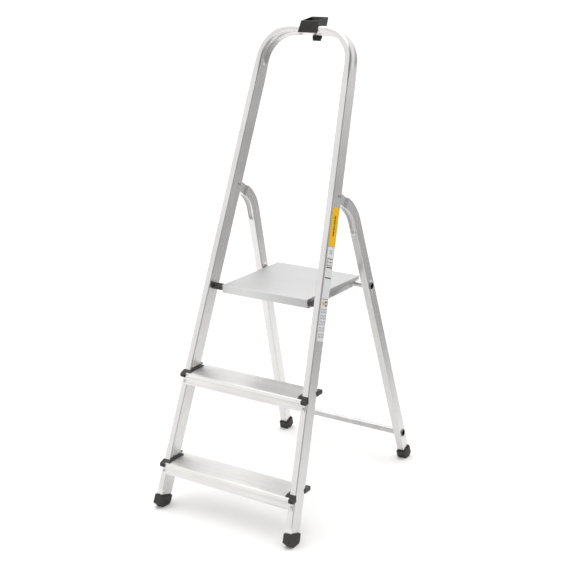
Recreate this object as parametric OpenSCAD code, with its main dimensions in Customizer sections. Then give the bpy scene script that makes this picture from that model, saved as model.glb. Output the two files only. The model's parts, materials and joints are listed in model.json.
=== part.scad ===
// Folding household step ladder: two treads, a platform and a high bent handrail.
// Millimetres, +Z up. The front is -Y. Origin: middle of the footprint, on the floor.
// Each piece stands in the open position on its four feet.

/* [Front frame] */
// height of the top of the handrail bar at its front face
handrail_h = 1244; // [1180:1:1300]
// backward lean of the front frame
lean_deg = 19.2; // [18:0.1:20.5]
// inward lean of each upright
front_splay = 3.32; // [3:0.01:3.6]
// half the width over both uprights at floor level
front_half = 213.9; // [206:0.1:222]
// tube width seen from the front
stile_w = 18.2; // [17:0.1:20]
// tube depth seen from the side
stile_d = 44; // [42:0.5:46]
// radius of the handrail bends at the middle of the tube
handrail_r = 85; // [70:1:95]
// wall of the handrail tube
tube_wall = 1.3; // [1:0.1:1.6]

/* [Treads] */
// height of the lower tread
lower_tread_h = 127; // [110:1:140]
// height of the upper tread
upper_tread_h = 358; // [340:1:370]
// tread depth behind the front face of the uprights
tread_back = 66; // [62:1:68]
// plate thickness of the treads
tread_t = 2.2; // [1.8:0.1:3]

/* [Platform] */
// height of the platform
platform_h = 580; // [575:1:585]
// width of the platform over its side flanges
platform_w = 263; // [240:1:266]
// front edge of the platform, behind the front feet line
platform_front = 219; // [215:1:222]
// rear edge of the platform
platform_rear = 492; // [486:1:500]
// sheet thickness
sheet_t = 1.5; // [1.2:0.1:2]

/* [Rear frame] */
// forward lean of the rear legs
rear_deg = 18.2; // [17.5:0.1:18.8]
// front face of the rear legs at floor level
rear_y = 639; // [630:1:650]
// half the width over both rear legs at floor level
rear_half = 214.9; // [208:0.1:220]
// leg tube width seen from the front
leg_w = 22; // [21:0.5:23]
// leg tube depth seen from the side
leg_d = 31.2; // [29:0.1:32]
// bend of the leg top out of line with the leg
leg_bend_deg = 38.8; // [36:0.1:41]
// radius of that bend at the middle of the tube
leg_bend_r = 108; // [95:1:115]
// wall of the leg tube
leg_wall = 1.2; // [1:0.1:1.3]
// outer diameter of the upper cross tube
upper_tube_d = 12; // [10:0.5:13]
// outer diameter of the lower cross tube
lower_tube_d = 13.5; // [12:0.5:15]

/* [Pivots] */
// pivot of the rear legs, distance behind the front feet line
pivot_y = 323; // [321:0.5:325]
// pivot of the rear legs, height
pivot_z = 831; // [828:0.5:834]
// pivot of the platform, distance behind the front feet line
pin_y = 226; // [225:0.5:227]
// pivot of the platform, height
pin_z = 571; // [570:0.5:572]
// diameter of the pivot shafts
shaft_d = 8; // [6:0.5:8]

/* [Hidden] */
$fn = 40;
mid_y = 337.3;
fit = 0.05;
corner_r = 2.6;
hole_d = shaft_d + 2 * fit;
stile_x0 = front_half - stile_w / 2;
handrail_v = handrail_h / cos(lean_deg);
bar_v = handrail_v - stile_w / 2;
turn_deg = 90 - front_splay;
bend_run = handrail_r * tan(turn_deg / 2);
bar_half = stile_x0 - tan(front_splay) * bar_v - bend_run;
stile_len = bar_v / cos(front_splay) - bend_run;
stile_start = 22;
foot_wall = 2.2;
front_foot_top = 39.6;
rear_foot_top = 24.2;
sole_front_y = 18.5;
sole_rear_y = 45;
nose = 13.5;
nose_h = 13.5;
flange_h = 34;
rear_flange_h = 16;
tread_rivet_drop = 27;
rivet_d = 4;
collar_in = 7.6;
collar_front = 9.5;
collar_back = 52;
collar_top = 2.4;
lug_w = 12;
lug_ahead = 4.2;
heel_w = 11;
heel_h = 10;
pivot_v = pivot_y * sin(lean_deg) + pivot_z * cos(lean_deg);
pin_v = pin_y * sin(lean_deg) + pin_z * cos(lean_deg);
pivot_s = pivot_v / cos(front_splay);
pivot_n = pivot_y * cos(lean_deg) - pivot_z * sin(lean_deg);
pivot_x = stile_x0 - tan(front_splay) * pivot_v;
pin_wall_x = stile_x0 - tan(front_splay) * pin_v - stile_w / 2;
leg_x0 = rear_half - leg_w / 2;
leg_pivot_n = (pivot_y - rear_y) * cos(rear_deg) + pivot_z * sin(rear_deg);
leg_pivot_w = (rear_y - pivot_y) * sin(rear_deg) + pivot_z * cos(rear_deg);
leg_splay = atan((leg_x0 - pivot_x) / leg_pivot_w);
leg_reach = (leg_d / 2 - leg_pivot_n) / sin(leg_bend_deg);
leg_run = leg_bend_r * tan(leg_bend_deg / 2);
leg_pivot_s = leg_pivot_w / cos(leg_splay);
leg_top = leg_pivot_s - leg_reach * cos(leg_bend_deg) - leg_run;
leg_start = 12;
head_w = 12.8;
head_d = 27.6;
head_len = 38;
head_tip = 12;
shoulder_len = 3;
slot_w = 15.2;
core_in = 0.4;
core_deg = 0.6;
seam = 0.02;
upper_tube_y = 469;
upper_tube_z = 562;
lower_tube_y = 627;
lower_tube_z = 84;
clip_x = 4;
clip_wall = 2.6;
clip_tongue_x = 3;
bush_r = 9.4;
flange_front_h = 25;
flange_rear_h = 11.8;
tray_bend_r = 3;
lip_h = 22.6;

// colours of the real materials
mill_alu = [0.84, 0.84, 0.84];
tread_alu = [0.88, 0.88, 0.87];
sheet_alu = [0.80, 0.80, 0.80];
black_plastic = [0.16, 0.155, 0.155];
steel = [0.62, 0.62, 0.63];
yellow_foil = [0.86, 0.66, 0.05];
silver_foil = [0.78, 0.79, 0.79];

// ---- frames of reference ----

// whole object: moves the footprint middle to the origin
module placed() translate([0, -mid_y, 0]) children();

// front frame: Z runs up the lean, Y runs square to the frame from its front face
module leaned() rotate([-lean_deg, 0, 0]) children();

// one upright: Z runs along it, X across it, Y from its front face
module at_stile(side) leaned()
  translate([side * stile_x0, 0, 0]) rotate([0, -side * front_splay, 0]) children();

// one rear leg: Z runs along it, X across it, Y from its front face
module at_leg(side) translate([0, rear_y, 0]) rotate([rear_deg, 0, 0])
  translate([side * leg_x0, 0, 0]) rotate([0, -side * leg_splay, 0]) children();

// side view outline drawn in Y and Z, thick along X
module slab(x_from, x_to) translate([x_from, 0, 0]) rotate([90, 0, 90])
  linear_extrude(height = x_to - x_from) children();

// bar along X through a point in side view
module rod(x_from, x_to, y, z, d) translate([x_from, y, z]) rotate([0, 90, 0])
  cylinder(d = d, h = x_to - x_from);

// box from its two corners
module box(lo, hi) translate(lo) cube([hi[0] - lo[0], hi[1] - lo[1], hi[2] - lo[2]]);

// ---- outlines ----

// points of a rectangle with rounded corners, middle at the origin
function round_rect(w, d, r, steps = 4) = [for (q = [0:3]) for (i = [0:steps])
  let (a = 90 * q + 90 * i / steps,
       sx = (q == 0 || q == 3) ? 1 : -1,
       sy = (q < 2) ? 1 : -1)
  [sx * (w / 2 - r) + r * cos(a), sy * (d / 2 - r) + r * sin(a)]];

module tube_ring(w, d, wall) difference() {
  polygon(round_rect(w, d, corner_r));
  polygon(round_rect(w - 2 * wall, d - 2 * wall, corner_r - wall));
}

// middle of the tube wall, runs a little past each bend and ties it to the straights
module core_ring(w, d, wall) difference() {
  polygon(round_rect(w - 2 * core_in, d - 2 * core_in, corner_r - core_in));
  polygon(round_rect(w - 2 * wall + 2 * core_in, d - 2 * wall + 2 * core_in, corner_r - wall + core_in));
}

// bent tube turning from the +X side toward +Y
module bend(r, turn) {
  rotate_extrude(angle = turn, $fn = 96) translate([r, 0]) children(0);
  rotate([0, 0, -core_deg]) rotate_extrude(angle = turn + 2 * core_deg, $fn = 96)
    translate([r, 0]) children(1);
}

// ---- front frame ----

// upright and its half of the handrail, right hand side
module half_handrail() {
  translate([stile_x0, stile_d / 2, 0]) rotate([0, -front_splay, 0])
    translate([0, 0, stile_start]) linear_extrude(height = stile_len - stile_start - seam)
    tube_ring(stile_w, stile_d, tube_wall);
  translate([bar_half, stile_d / 2, bar_v - handrail_r]) rotate([90, 0, 0])
    rotate([0, 0, front_splay]) bend(handrail_r, turn_deg) {
      tube_ring(stile_w, stile_d, tube_wall);
      core_ring(stile_w, stile_d, tube_wall);
    }
}

module stile_cuts(side) {
  // rivet holes for both treads in the front wall
  for (h = [lower_tread_h, upper_tread_h]) at_stile(side)
    translate([0, -1, (h - tread_rivet_drop) / cos(lean_deg) / cos(front_splay)])
    rotate([-90, 0, 0]) cylinder(d = rivet_d + 2 * fit, h = 4);
  // rear slot that takes the narrowed top of the rear leg
  at_stile(side) box([-slot_w / 2, stile_d - 3, pivot_s - 40], [slot_w / 2, stile_d + 1, pivot_s + 14]);
  // pivot bore through both side walls
  rod(side * pivot_x - 14, side * pivot_x + 14, pivot_y, pivot_z, hole_d);
  // platform pin bore in the inner wall
  rod(side * pin_wall_x - 5, side * pin_wall_x + 5, pin_y, pin_z, hole_d);
}

module front_frame_tube() placed() color(mill_alu) difference() {
  leaned() {
    half_handrail();
    mirror([1, 0, 0]) half_handrail();
    translate([seam - bar_half, stile_d / 2, bar_v]) rotate([0, 90, 0])
      linear_extrude(height = 2 * (bar_half - seam)) tube_ring(stile_w, stile_d, tube_wall);
  }
  stile_cuts(-1);
  stile_cuts(1);
}

// solid shape of one upright with room around it
module stile_room(side, room) at_stile(side)
  box([-stile_w / 2 - room, -room, 0], [stile_w / 2 + room, stile_d + room, 500]);

// ---- treads ----

// outer side of the upright at a height
function stile_outer(h) = front_half - tan(front_splay) * h / cos(lean_deg);

// side view of a tread about the point where its top meets the front face of the uprights
module tread_outline() {
  lean = tan(lean_deg);
  rib_pitch = 5;
  rib_h = 0.5;
  first_rib = 4;
  foil = 0.1;
  join = nose_h + 3;
  ribs = [for (i = [0:10]) for (p = [[0, 0], [1.2, -rib_h], [2.4, -rib_h], [3.6, 0]])
    [first_rib + i * rib_pitch + p[0], p[1]]];
  top = concat([[tread_back, -1], [tread_back - 1, 0]],
    [for (i = [len(ribs) - 1:-1:0]) ribs[i]], [[1, 0], [-8, -2.2]]);
  front = [for (i = [0:4]) [-nose + 4 - 4 * sin(22.5 * i), -6.5 + 4 * cos(22.5 * i)]];
  face = [[-nose, -nose_h + 1], [-join * lean - foil - tread_t, -join],
    [-flange_h * lean - foil - tread_t, -flange_h + 0.6],
    [-flange_h * lean - foil - tread_t / 2, -flange_h],
    [-flange_h * lean - foil, -flange_h], [-join * lean - foil, -join],
    [-nose + tread_t, -nose_h + 1], [-nose + tread_t, -6.5], [-7, -tread_t - 2.2], [1, -tread_t - 0.6],
    [tread_back - tread_t, -tread_t - 0.6], [tread_back - tread_t, -rear_flange_h],
    [tread_back, -rear_flange_h]];
  polygon(concat(top, front, face));
}

module tread(h) {
  y0 = h * tan(lean_deg);
  half = stile_outer(h - 7);
  inner = half - stile_w;
  translate([0, -mid_y, 0]) color(tread_alu) difference() {
    translate([0, y0, h]) slab(3 - half, half - 3) tread_outline();
    for (side = [-1, 1]) {
      // notch for the upright and its collar
      translate([side * (inner - collar_in - fit + 50), y0, h])
        box([-50, -collar_front - fit, -12], [50, collar_back + fit, 4]);
      // nose cut back for the end lug
      translate([side * (half - lug_w - fit + 50), y0, h])
        box([-50, -30, -nose_h - 2 - 2 * fit], [50, -2, 4]);
      // rear end cut back for the heel of the cap
      translate([side * (half - heel_w - fit + 50), y0, h])
        box([-50, stile_d, -25], [50, tread_back + 8, 4]);
      // rivet hole
      at_stile(side) translate([0, -12, (h - tread_rivet_drop) / cos(lean_deg) / cos(front_splay)])
        rotate([-90, 0, 0]) cylinder(d = rivet_d + 2 * fit, h = 14);
    }
  }
}

module lower_tread() tread(lower_tread_h);
module upper_tread() tread(upper_tread_h);

// side view of the block that ends the nose, its lower front corner rounded
function lug_outline() = let (r = 5, x = r - nose - lug_ahead, z = r - nose_h - 2)
  concat([[-nose - lug_ahead, -4.5], [1 - nose, -2], [-6, 0], [-2, collar_top], [4, collar_top],
    [4, z - r], [x, z - r]],
    [for (i = [1:4]) [x - r * sin(22.5 * i), z - r * cos(22.5 * i)]]);

// plastic collar that closes the end of a tread around the upright
module tread_cap(h, side) {
  y0 = h * tan(lean_deg);
  half = stile_outer(h - 7);
  inner = half - stile_w;
  placed() color(black_plastic) difference() {
    translate([0, y0, h]) mirror([side < 0 ? 1 : 0, 0, 0]) {
      difference() {
        union() {
          // collar around three sides of the upright
          box([inner - collar_in, -collar_front, -5], [half + 0.5, collar_back, collar_top]);
          // block that ends the nose
          slab(half - lug_w, half + 0.6) polygon(lug_outline());
          // heel behind the upright
          slab(half - heel_w, half + 0.4) polygon([[stile_d - 2, collar_top - 1],
            [tread_back + 2.5, collar_top - 1], [tread_back + 3.5, collar_top - 2],
            [tread_back + 3.5, 1 - heel_h], [tread_back + 2.5, -heel_h], [stile_d - 2, -heel_h]]);
          // snap nib behind the upright
          box([inner + 1, collar_back - 3.2, 0], [inner + 4.5, collar_back, 7]);
        }
        // slope of the nose top
        slab(inner - 20, half + 5) polygon([[-30, 12], [-1, collar_top + 0.01], [-14.3, -2.6], [-30, -8]]);
        // free outer side of the upright
        box([inner + 1, 1, -30], [half + 10, stile_d - 1.5, 10]);
      }
    }
    stile_room(side, 0.15);
  }
}

module lower_left_tread_cap() tread_cap(lower_tread_h, -1);
module lower_right_tread_cap() tread_cap(lower_tread_h, 1);
module upper_left_tread_cap() tread_cap(upper_tread_h, -1);
module upper_right_tread_cap() tread_cap(upper_tread_h, 1);

// hollow rivets through the front flange of each tread into the upright
module tread_rivets() placed() color(steel)
  for (h = [lower_tread_h, upper_tread_h], side = [-1, 1])
    at_stile(side) translate([0, 0, (h - tread_rivet_drop) / cos(lean_deg) / cos(front_splay)])
    rotate([90, 0, 0]) difference() {
      union() {
        translate([0, 0, -3.4]) cylinder(d = rivet_d, h = 6);
        translate([0, 0, tread_t + 0.15]) cylinder(d1 = 7.6, d2 = 5.4, h = 1.3);
        translate([0, 0, -3.4]) cylinder(d = 5.8, h = 1.8);
      }
      translate([0, 0, tread_t + 0.6]) cylinder(d = 2.4, h = 2);
    }

// ---- feet ----

module front_foot(side) placed() color(black_plastic) difference() {
  at_stile(side) difference() {
    box([-stile_w / 2 - foot_wall, -foot_wall, -30],
      [stile_w / 2 + foot_wall, stile_d + foot_wall, front_foot_top]);
    box([-stile_w / 2 - fit, -fit, stile_start - 0.2], [stile_w / 2 + fit, stile_d + fit, 60]);
  }
  box([-260, -60, -90], [260, 140, 0]);
  slab(-260, 260) polygon([[-25, -1], [sole_front_y + 1, -1], [-25, sole_front_y + 25]]);
  slab(-260, 260) polygon([[sole_rear_y - 1, -1], [90, -1], [90, 90 - sole_rear_y]]);
}

module left_front_foot() front_foot(-1);
module right_front_foot() front_foot(1);

module rear_foot(side) placed() color(black_plastic) difference() {
  at_leg(side) difference() {
    box([-leg_w / 2 - foot_wall, -foot_wall, -30],
      [leg_w / 2 + foot_wall, leg_d + foot_wall, rear_foot_top]);
    box([-leg_w / 2 - fit, -fit, leg_start - 0.2], [leg_w / 2 + fit, leg_d + fit, 60]);
  }
  box([-260, 600, -90], [260, 760, 0]);
  slab(-260, 260) polygon([[600, -1], [rear_y + 0.3, -1], [rear_y - 4, 3.3], [600, 3.3]]);
  slab(-260, 260) polygon([[656.4, -1], [720, -1], [720, 39.6]]);
}

module left_rear_foot() rear_foot(-1);
module right_rear_foot() rear_foot(1);

// ---- handrail clip ----

// plastic saddle with an open tray, pushed over the handrail bar
module handrail_clip() placed() color(black_plastic) difference() {
  leaned() translate([clip_x, 0, handrail_v]) {
    // front skirt, wider at the bottom
    translate([0, -0.2, 0]) rotate([90, 0, 0]) linear_extrude(height = clip_wall)
      polygon([[-29, -stile_w - 1.5], [-28.2, -stile_w - 2.6], [28.2, -stile_w - 2.6],
        [29, -stile_w - 1.5], [25, 9], [-25, 9]]);
    // tray on top of the bar
    difference() {
      box([-25, -0.2 - clip_wall, 0.2], [25, stile_d + 0.2 + clip_wall, 40]);
      box([-25 + clip_wall, 2.4, 0.2 + clip_wall], [25 - clip_wall, stile_d - 2.4, 41]);
    }
    // rear tongue that snaps under the bar
    translate([clip_tongue_x, stile_d + 0.2 + clip_wall, 0]) rotate([90, 0, 0])
      linear_extrude(height = clip_wall)
      polygon([[-14, 1], [-14, -stile_w - 2], [-11.5, -stile_w - 11], [11.5, -stile_w - 11],
        [14, -stile_w - 2], [14, 1]]);
    box([clip_tongue_x - 12, stile_d - 3, -stile_w - 2.6],
      [clip_tongue_x + 12, stile_d + 1, -stile_w - 0.2]);
  }
  // rim cut almost level
  translate([0, handrail_h * tan(lean_deg), handrail_h + 10]) rotate([8, 0, 0])
    box([-100, -60, 0], [100, 120, 60]);
}

// ---- platform pivots ----

module platform_bush(side) placed() color(black_plastic)
  difference() {
    translate([side * (platform_w / 2 + 0.4), pin_y, pin_z]) rotate([0, side * 90, 0]) {
      cylinder(r = bush_r - 1.4, h = pin_wall_x - platform_w / 2 - 1.1);
      for (x = [0, 8.4, 16.8]) translate([0, 0, x]) cylinder(r = bush_r, h = 5);
      translate([0, 0, 24.6]) cylinder(r = bush_r, h = pin_wall_x - platform_w / 2 - 25.7);
    }
    rod(-260, 260, pin_y, pin_z, hole_d);
  }

module left_platform_bush() platform_bush(-1);
module right_platform_bush() platform_bush(1);

module platform_pin(side) placed() color(steel) mirror([side < 0 ? 1 : 0, 0, 0]) {
  rod(platform_w / 2 - 4, pin_wall_x + 3.4, pin_y, pin_z, shaft_d);
  rod(platform_w / 2 - sheet_t - 2.8, platform_w / 2 - sheet_t - 0.5, pin_y, pin_z, 10);
  rod(pin_wall_x + 2.2, pin_wall_x + 4.2, pin_y, pin_z, 12);
}

module left_platform_pin() platform_pin(-1);
module right_platform_pin() platform_pin(1);

// ---- rear leg pivots ----

// rivet through the upright and the leg top inside it
module leg_rivet(side) placed() color(steel) difference() {
  union() {
    rod(side * pivot_x - stile_w / 2 - 1, side * pivot_x + stile_w / 2 + 1, pivot_y, pivot_z, shaft_d);
    for (way = [-1, 1]) at_stile(side) translate([way * (stile_w / 2 + fit), pivot_n, pivot_s])
      rotate([0, way * 90, 0]) cylinder(d1 = 12, d2 = 9.5, h = 1.8);
  }
  for (way = [-1, 1]) at_stile(side) translate([way * (stile_w / 2 + 0.9), pivot_n, pivot_s])
    rotate([0, way * 90, 0]) cylinder(d = 4.4, h = 3);
}

module left_leg_rivet() leg_rivet(-1);
module right_leg_rivet() leg_rivet(1);

// ---- labels on the outer side of the right upright ----

module stile_label(s_from, s_to) at_stile(1)
  box([stile_w / 2 + 0.03, 6, s_from], [stile_w / 2 + 0.28, stile_d - corner_r - 0.2, s_to]);

module upper_label() placed() color(yellow_foil) stile_label(764, 862);
module lower_label() placed() color(silver_foil) stile_label(523, 762);

// ---- rear frame ----

// half outline of the shoulder seen from one side, from the full tube to the narrow end
function shoulder_half(full, narrow) = [[full - core_in, -head_len - shoulder_len - 1],
  [full - core_in, -head_len - shoulder_len], [full, -head_len - shoulder_len],
  [narrow, -head_len], [narrow - core_in, -head_len], [narrow - core_in, 1 - head_len]];

function shoulder(full, narrow) = let (half = shoulder_half(full, narrow))
  concat(half, [for (i = [len(half) - 1:-1:0]) [-half[i][0], half[i][1]]]);

// top of the leg, pressed narrow to fit inside the upright; Z runs to the pivot at the origin
module leg_head() {
  straight = leg_reach - leg_run - head_len - shoulder_len;
  translate([0, 0, -straight - head_len - shoulder_len]) linear_extrude(height = straight)
    tube_ring(leg_w, leg_d, leg_wall);
  intersection() {
    slab(-leg_w, leg_w) polygon(shoulder(leg_d / 2, head_d / 2));
    rotate([90, 0, 0]) linear_extrude(height = 2 * leg_d, center = true)
      polygon(shoulder(leg_w / 2, head_w / 2));
    translate([0, 0, -2 * head_len]) linear_extrude(height = 2 * head_len)
      polygon(round_rect(leg_w, leg_d, corner_r));
  }
  translate([0, 0, -head_len]) linear_extrude(height = head_len + head_tip)
    tube_ring(head_w, head_d, leg_wall);
}

module rear_leg(side) placed() color(mill_alu) difference() {
  at_leg(side) {
    translate([0, leg_d / 2, leg_start]) linear_extrude(height = leg_top - leg_start)
      tube_ring(leg_w, leg_d, leg_wall);
    translate([0, leg_d / 2 - leg_bend_r, leg_top]) rotate([90, 0, 90]) bend(leg_bend_r, leg_bend_deg) {
      rotate([0, 0, 90]) tube_ring(leg_w, leg_d, leg_wall);
      rotate([0, 0, 90]) core_ring(leg_w, leg_d, leg_wall);
    }
    translate([0, leg_pivot_n, leg_pivot_s]) rotate([leg_bend_deg, 0, 0]) leg_head();
  }
  rod(side * pivot_x - 30, side * pivot_x + 30, pivot_y, pivot_z, hole_d);
  rod(side * 200 - 60, side * 200 + 60, upper_tube_y, upper_tube_z, upper_tube_d + 2 * fit);
  rod(side * 200 - 60, side * 200 + 60, lower_tube_y, lower_tube_z, lower_tube_d + 2 * fit);
}

module left_rear_leg() rear_leg(-1);
module right_rear_leg() rear_leg(1);

// distances of a side view point from the foot of the leg, across and along it
function leg_n(y, z) = (y - rear_y) * cos(rear_deg) + z * sin(rear_deg);
function leg_s(y, z) = ((rear_y - y) * sin(rear_deg) + z * cos(rear_deg)) / cos(leg_splay);

// round tube through both legs, its ends flared open against their outer sides
module cross_tube(y, z, d) {
  reach = rear_half - tan(leg_splay) * leg_s(y, z) * cos(leg_splay) + 1;
  placed() color(mill_alu) difference() {
    union() {
      rod(-reach, reach, y, z, d);
      for (side = [-1, 1]) at_leg(side)
        translate([side * (leg_w / 2 + 0.06), leg_n(y, z), leg_s(y, z)]) rotate([0, side * 90, 0])
        cylinder(d1 = d + 8, d2 = d + 6, h = 1.3);
    }
    rod(-260, 260, y, z, d - 2.2);
  }
}

module upper_cross_tube() cross_tube(upper_tube_y, upper_tube_z, upper_tube_d);
module lower_cross_tube() cross_tube(lower_tube_y, lower_tube_z, lower_tube_d);

// ---- platform ----

// solid block of the tray with its edges rounded along both directions
module tray_block(inset) {
  half = platform_w / 2 - inset;
  r = tray_bend_r - inset;
  deep = 80;
  intersection() {
    translate([0, platform_rear - inset, platform_h - inset - deep / 2]) rotate([90, 0, 0])
      linear_extrude(height = platform_rear - platform_front - 2 * inset)
      polygon(round_rect(2 * half, deep, r));
    translate([-half, (platform_front + platform_rear) / 2, platform_h - inset - deep / 2])
      rotate([90, 0, 90]) linear_extrude(height = 2 * half)
      polygon(round_rect(platform_rear - platform_front - 2 * inset, deep, r));
  }
}

// folded sheet tray, open underneath, its side flanges stepped to rest on the cross tube
module platform_tray() placed() color(sheet_alu) difference() {
  half = platform_w / 2;
  deep_end = platform_rear - 35.5;
  tray_block(0);
  tray_block(sheet_t);
  // side flanges, cut to their outline
  slab(-half - 1, half + 1) polygon([[platform_front + 4, platform_h - 100],
    [platform_front + 4, platform_h - flange_front_h], [platform_front + 119, platform_h - flange_front_h],
    [platform_front + 119, platform_h - flange_front_h + 6],
    [platform_front + 122, platform_h - flange_front_h + 6],
    [platform_front + 122, platform_h - flange_front_h], [deep_end, platform_h - flange_front_h],
    [deep_end, platform_h - flange_rear_h], [platform_rear + 1, platform_h - flange_rear_h],
    [platform_rear + 1, platform_h - 100]]);
  // front lip, cut shorter than the flanges, with open corners
  box([-half - 1, platform_front - 1, platform_h - 100],
    [half + 1, platform_front + 4, platform_h - lip_h]);
  rod(-260, 260, pin_y, pin_z, hole_d);
}

front_frame_tube();
lower_tread();
upper_tread();
lower_left_tread_cap();
lower_right_tread_cap();
upper_left_tread_cap();
upper_right_tread_cap();
tread_rivets();
left_front_foot();
right_front_foot();
handrail_clip();
left_platform_bush();
right_platform_bush();
left_platform_pin();
right_platform_pin();
left_leg_rivet();
right_leg_rivet();
upper_label();
lower_label();
left_rear_leg();
right_rear_leg();
upper_cross_tube();
lower_cross_tube();
left_rear_foot();
right_rear_foot();
platform_tray();
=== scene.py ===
import json
import math

import bmesh
import bpy
import numpy as np
from mathutils import Matrix, Vector


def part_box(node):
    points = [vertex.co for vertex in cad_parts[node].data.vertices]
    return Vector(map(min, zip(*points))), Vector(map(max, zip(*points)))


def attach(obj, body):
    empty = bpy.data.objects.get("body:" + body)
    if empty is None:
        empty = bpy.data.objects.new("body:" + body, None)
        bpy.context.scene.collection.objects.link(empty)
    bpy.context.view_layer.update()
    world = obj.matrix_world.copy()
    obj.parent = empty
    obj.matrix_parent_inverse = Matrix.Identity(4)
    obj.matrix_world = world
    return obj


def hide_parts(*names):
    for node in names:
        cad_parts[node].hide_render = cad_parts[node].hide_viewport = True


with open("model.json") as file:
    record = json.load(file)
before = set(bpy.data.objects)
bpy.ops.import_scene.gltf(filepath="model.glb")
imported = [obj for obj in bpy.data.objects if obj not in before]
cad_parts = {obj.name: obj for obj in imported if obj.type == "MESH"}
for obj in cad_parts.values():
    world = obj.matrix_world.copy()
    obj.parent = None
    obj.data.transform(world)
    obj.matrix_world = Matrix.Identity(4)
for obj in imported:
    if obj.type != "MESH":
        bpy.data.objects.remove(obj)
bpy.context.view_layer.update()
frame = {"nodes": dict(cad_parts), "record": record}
nodes = frame["nodes"]
slotOf = {entry["node"]: entry["material_slot"] for entry in frame["record"]["subparts"]}
bodyOf = {node: body for body, members in frame["record"]["behaviour"]["bodies"].items() for node in members}
mm = 0.001
print("frame loaded:", len(nodes), "nodes")


def linearColour(code):
    # sRGB hex to linear RGBA
    channels = [int(code[i : i + 2], 16) / 255 for i in (1, 3, 5)]
    return [c / 12.92 if c <= 0.04045 else ((c + 0.055) / 1.055) ** 2.4 for c in channels] + [1.0]


def addNode(tree, kind, settings, inputs, output=0):
    # one node: its settings, then its inputs by name or in order, each a plain value or another node's output
    node = tree.nodes.new("ShaderNode" + kind)
    for name, value in settings.items():
        setattr(node, name, value)
    for key, value in inputs.items() if isinstance(inputs, dict) else enumerate(inputs):
        if isinstance(value, bpy.types.NodeSocket):
            tree.links.new(value, node.inputs[key])
        else:
            node.inputs[key].default_value = value
    return node.outputs[output] if node.outputs else node


def newMaterial(name):
    # an empty node material and its tree
    material = bpy.data.materials.new(name)
    material.use_nodes = True
    material.node_tree.nodes.clear()
    return material, material.node_tree


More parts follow.
